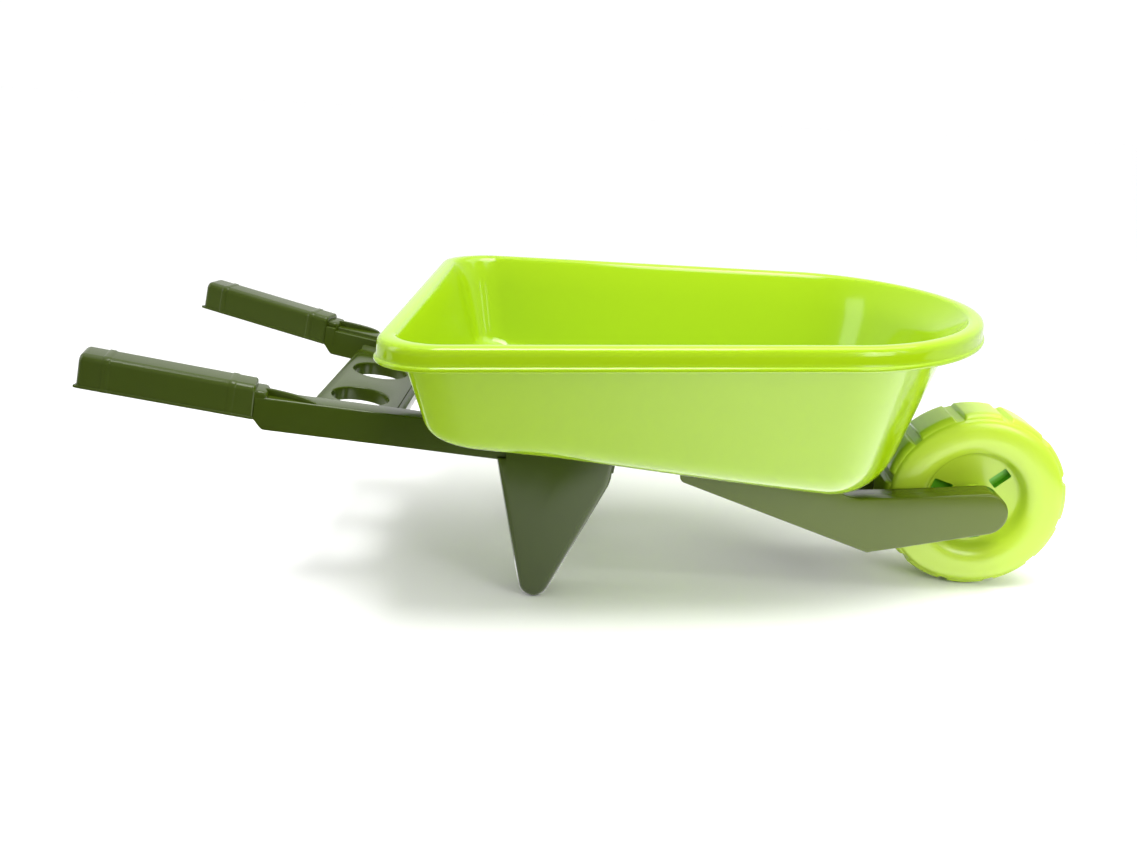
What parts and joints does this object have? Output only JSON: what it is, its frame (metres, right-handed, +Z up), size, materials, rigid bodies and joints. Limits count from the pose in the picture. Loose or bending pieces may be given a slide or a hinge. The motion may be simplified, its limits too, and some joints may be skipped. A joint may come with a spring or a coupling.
{
  "type": "child-size wheelbarrow",
  "caption": "Child-size plastic wheelbarrow: deep tub with a rolled rim and rounded nose, splayed handle frame with a tool plate, two tapered legs and a fork with a knobbly wheel.",
  "frame": {"origin": "on the ground, below the middle of the overall length, on the centre line", "axes": "+X forward, towards the wheel; +Y to the left of the person pushing; +Z up"},
  "size_m": [0.741, 0.3824, 0.2251],
  "materials": {
    "lime_plastic": "glossy moulded polypropylene, lime green",
    "olive_plastic": "semi-gloss moulded polypropylene, dark olive green",
    "grip_plastic": "satin moulded polypropylene, dark olive green",
    "wheel_plastic": "glossy moulded polypropylene, yellow green",
    "bush_plastic": "moulded polypropylene, yellow green",
    "axle_steel": "drawn steel rod",
    "washer_plastic": "moulded plastic",
    "screw_steel": "zinc plated"
  },
  "bodies": {
    "frame": {"tub": "lime_plastic", "handle_frame": "olive_plastic", "grip_left": "grip_plastic", "grip_right": "grip_plastic", "leg_left": "olive_plastic", "leg_right": "olive_plastic", "fork_arm_left": "olive_plastic", "fork_arm_right": "olive_plastic", "fork_bridge": "olive_plastic", "axle": "axle_steel", "axle_washers": "washer_plastic", "tub_screws": "screw_steel", "leg_screws": "screw_steel", "arm_screws": "screw_steel", "grip_screws": "screw_steel"},
    "wheel": {"wheel_half_left": "wheel_plastic", "wheel_half_right": "wheel_plastic", "hub_bush_left": "bush_plastic", "hub_bush_right": "bush_plastic"}
  },
  "joints": [
    {"name": "wheel_spin", "type": "hinge", "parent": "frame", "child": "wheel", "pos_m": [0.297, 0, 0.073], "axis": [0, 1, 0], "continuous": true}
  ]
}
